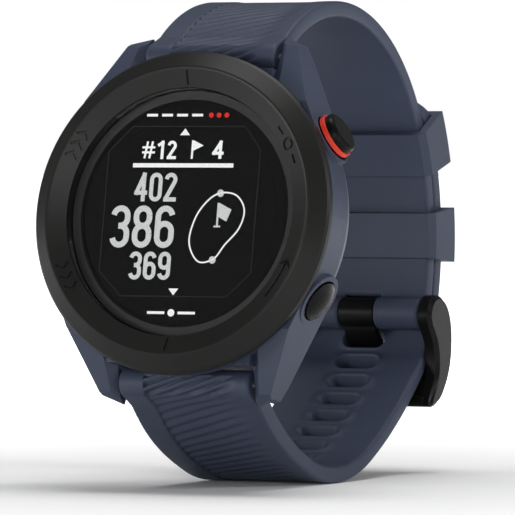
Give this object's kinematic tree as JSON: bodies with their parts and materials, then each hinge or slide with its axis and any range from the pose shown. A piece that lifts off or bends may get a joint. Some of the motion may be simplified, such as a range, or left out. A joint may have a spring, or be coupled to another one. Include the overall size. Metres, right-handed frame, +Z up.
{
  "type": "golf watch",
  "caption": "Round golf GPS watch with push buttons round the case, silicone strap, pin buckle, keepers and quick-release spring bars.",
  "frame": {"origin": "on the ground below the middle of the watch as it stands on its closed strap, face leaning back", "axes": "+X to the 3 o'clock side, +Y from the face towards the buckle, +Z up"},
  "size_m": [0.0437, 0.0702, 0.066],
  "materials": {
    "case_polymer": "moulded polymer, slate blue, fine matte grain",
    "bezel_black": "hard black ring, satin",
    "clear_glass": "flat strengthened glass, polished",
    "display_black": "memory-in-pixel display, dark",
    "diffuser_white": "light guide",
    "seal_rubber": "soft seal",
    "frame_plastic": "glass-filled polymer",
    "antenna_copper": "copper on film",
    "battery_foil": "foil pouch",
    "board_green": "solder mask",
    "shield_tin": "tinned sheet",
    "back_plastic": "fibre-reinforced polymer, black",
    "contact_gold": "gold plated",
    "bar_steel": "stainless steel",
    "button_black": "satin black",
    "accent_red": "red anodised look",
    "strap_silicone": "silicone, slate blue, matte",
    "buckle_black": "black coating, satin"
  },
  "bodies": {
    "head": {"case_body": "case_polymer", "bezel_ring": "bezel_black", "glass": "clear_glass", "glass_gasket": "seal_rubber", "display_panel": "display_black", "display_backlight": "diffuser_white", "inner_frame": "frame_plastic", "gps_antenna": "antenna_copper", "battery": "battery_foil", "mainboard": "board_green", "shield_can": "shield_tin", "flex_cable": "antenna_copper", "tactile_switches": "shield_tin", "back_cover": "back_plastic", "back_gasket": "seal_rubber", "back_screws": "bar_steel", "charge_contacts": "contact_gold", "long_strap": "strap_silicone", "lower_bar_tube": "bar_steel", "lower_bar_spring": "bar_steel", "button_seal_select": "seal_rubber", "button_seal_back": "seal_rubber", "button_seal_up": "seal_rubber", "button_seal_down": "seal_rubber", "button_spring_select": "bar_steel", "button_spring_back": "bar_steel", "button_spring_up": "bar_steel", "button_spring_down": "bar_steel"},
    "strap": {"short_strap": "strap_silicone", "upper_bar_tube": "bar_steel", "upper_bar_spring": "bar_steel", "buckle_bar": "bar_steel", "keeper_fixed": "strap_silicone"},
    "sliding_keeper": {"keeper_free": "strap_silicone"},
    "buckle": {"buckle_frame": "buckle_black"},
    "tang": {"buckle_tang": "buckle_black"},
    "upper_pin": {"upper_bar_pin": "bar_steel"},
    "lower_pin": {"lower_bar_pin": "bar_steel"},
    "select_button": {"button_select": "button_black", "button_clip_select": "bar_steel", "accent_ring": "accent_red"},
    "back_button": {"button_back": "button_black", "button_clip_back": "bar_steel"},
    "up_button": {"button_up": "button_black", "button_clip_up": "bar_steel"},
    "down_button": {"button_down": "button_black", "button_clip_down": "bar_steel"}
  },
  "joints": [
    {"name": "select_press", "type": "slide", "parent": "head", "child": "select_button", "axis": [-0.866, -0.0897, -0.4919], "range_m": [0, 0.0005], "stiffness_N_per_m": 1500, "springref_m": -0.0001, "deforming": ["button_spring_select"]},
    {"name": "back_press", "type": "slide", "parent": "head", "child": "back_button", "axis": [-0.866, 0.0897, 0.4919], "range_m": [0, 0.0005], "stiffness_N_per_m": 1500, "springref_m": -0.0001, "deforming": ["button_spring_back"]},
    {"name": "up_press", "type": "slide", "parent": "head", "child": "up_button", "axis": [0.866, -0.0897, -0.4919], "range_m": [0, 0.0005], "stiffness_N_per_m": 1500, "springref_m": -0.0001, "deforming": ["button_spring_up"]},
    {"name": "down_press", "type": "slide", "parent": "head", "child": "down_button", "axis": [0.866, 0.0897, 0.4919], "range_m": [0, 0.0005], "stiffness_N_per_m": 1500, "springref_m": -0.0001, "deforming": ["button_spring_down"]},
    {"name": "strap_flex", "type": "hinge", "parent": "head", "child": "strap", "pos_m": [0, -0.01946, 0.05801], "axis": [1, 0, 0], "range_deg": [-4, 4], "stiffness_Nm_per_rad": 0.6, "deforming": ["long_strap"]},
    {"name": "buckle_swing", "type": "hinge", "parent": "strap", "child": "buckle", "pos_m": [0, 0.02722, 0.0225], "axis": [1, 0, 0], "range_deg": [0, 12]},
    {"name": "tang_swing", "type": "hinge", "parent": "buckle", "child": "tang", "pos_m": [0, 0.02722, 0.0225], "axis": [1, 0, 0], "range_deg": [0, 8]},
    {"name": "keeper_slide", "type": "hinge", "parent": "strap", "child": "sliding_keeper", "pos_m": [0, -0.00322, 0.03316], "axis": [1, 0, 0], "range_deg": [-9, 6]},
    {"name": "upper_release", "type": "slide", "parent": "strap", "child": "upper_pin", "axis": [-1, 0, 0], "range_m": [0, 0.0012], "stiffness_N_per_m": 700, "springref_m": -0.001, "deforming": ["upper_bar_spring"]},
    {"name": "lower_release", "type": "slide", "parent": "head", "child": "lower_pin", "axis": [-1, 0, 0], "range_m": [0, 0.0012], "stiffness_N_per_m": 700, "springref_m": -0.001, "deforming": ["lower_bar_spring"]}
  ]
}
